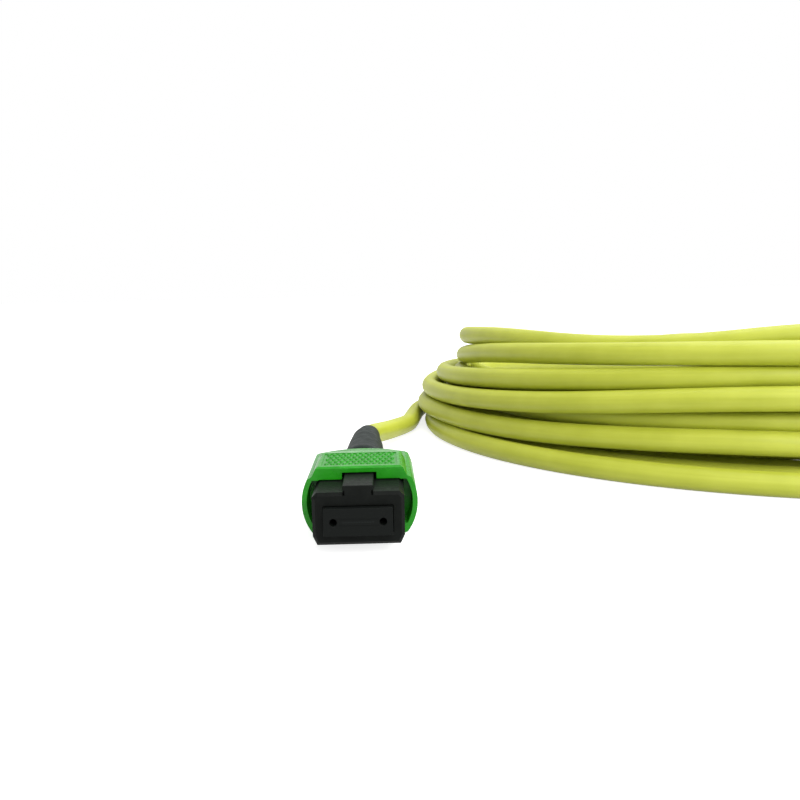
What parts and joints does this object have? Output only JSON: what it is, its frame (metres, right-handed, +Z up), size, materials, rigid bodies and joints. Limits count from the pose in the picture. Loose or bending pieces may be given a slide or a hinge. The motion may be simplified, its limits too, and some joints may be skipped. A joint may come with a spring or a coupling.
{
  "type": "mpo fibre connector",
  "caption": "Push-on multi-fibre plug with a green sliding sleeve, dark keyed nose and guide-hole ferrule, on a round yellow-green cable wound in a loose coil to a like plug at its far end.",
  "frame": {"origin": "middle of the underside of the near plug, on the surface that the plug and the coil rest on", "axes": "+Y from the ferrule's tip back along the plug towards its cable, +Z up through the key, +X to the right of the plug seen from its front"},
  "size_m": [0.1498, 0.1492, 0.0201],
  "materials": {
    "nose_black": "fine-grained near-black moulding",
    "sleeve_green": "mid green, satin moulding",
    "ferrule_grey": "dark grey filled polymer, ground front",
    "soft_rubber": "black soft rubber",
    "boot_grey": "dark grey rubber, satin",
    "spring_steel": "plain steel",
    "crimp_metal": "plain pressed metal",
    "ribbon_clear": "smooth, slightly blue",
    "yarn_gold": "golden aramid strands",
    "cable_jacket": "yellow-green jacket, satin"
  },
  "bodies": {
    "housing": {"inner_housing": "nose_black", "spring_push": "nose_black", "aramid_yarn": "yarn_gold", "crimp_sleeve": "crimp_metal", "strain_relief_boot": "boot_grey", "main_spring": "spring_steel", "sleeve_spring_left": "spring_steel", "sleeve_spring_right": "spring_steel", "cable_lead": "cable_jacket", "cable_coil": "cable_jacket", "cable_tail": "cable_jacket", "far_inner_housing": "nose_black", "far_spring_push": "nose_black", "far_aramid_yarn": "yarn_gold", "far_crimp_sleeve": "crimp_metal", "far_strain_relief_boot": "boot_grey", "far_main_spring": "spring_steel", "far_sleeve_spring_left": "spring_steel", "far_sleeve_spring_right": "spring_steel"},
    "sleeve": {"coupling_sleeve": "sleeve_green"},
    "ferrule_group": {"ferrule": "ferrule_grey", "ferrule_boot": "soft_rubber", "pin_keeper": "spring_steel", "fibre_ribbon": "ribbon_clear"},
    "far_sleeve": {"far_coupling_sleeve": "sleeve_green"},
    "far_ferrule_group": {"far_ferrule": "ferrule_grey", "far_ferrule_boot": "soft_rubber", "far_pin_keeper": "spring_steel", "far_fibre_ribbon": "ribbon_clear"}
  },
  "joints": [
    {"name": "sleeve_slide", "type": "slide", "parent": "housing", "child": "sleeve", "axis": [0, 1, 0], "range_m": [0, 0.002], "stiffness_N_per_m": 1500, "deforming": ["sleeve_spring_left", "sleeve_spring_right"]},
    {"name": "ferrule_slide", "type": "slide", "parent": "housing", "child": "ferrule_group", "axis": [0, 1, 0], "range_m": [0, 0.001], "stiffness_N_per_m": 8000, "deforming": ["main_spring"]},
    {"name": "far_sleeve_slide", "type": "slide", "parent": "housing", "child": "far_sleeve", "axis": [0, 1, 0], "range_m": [0, 0.002], "stiffness_N_per_m": 1500, "deforming": ["far_sleeve_spring_left", "far_sleeve_spring_right"]},
    {"name": "far_ferrule_slide", "type": "slide", "parent": "housing", "child": "far_ferrule_group", "axis": [0, 1, 0], "range_m": [0, 0.001], "stiffness_N_per_m": 8000, "deforming": ["far_main_spring"]}
  ]
}
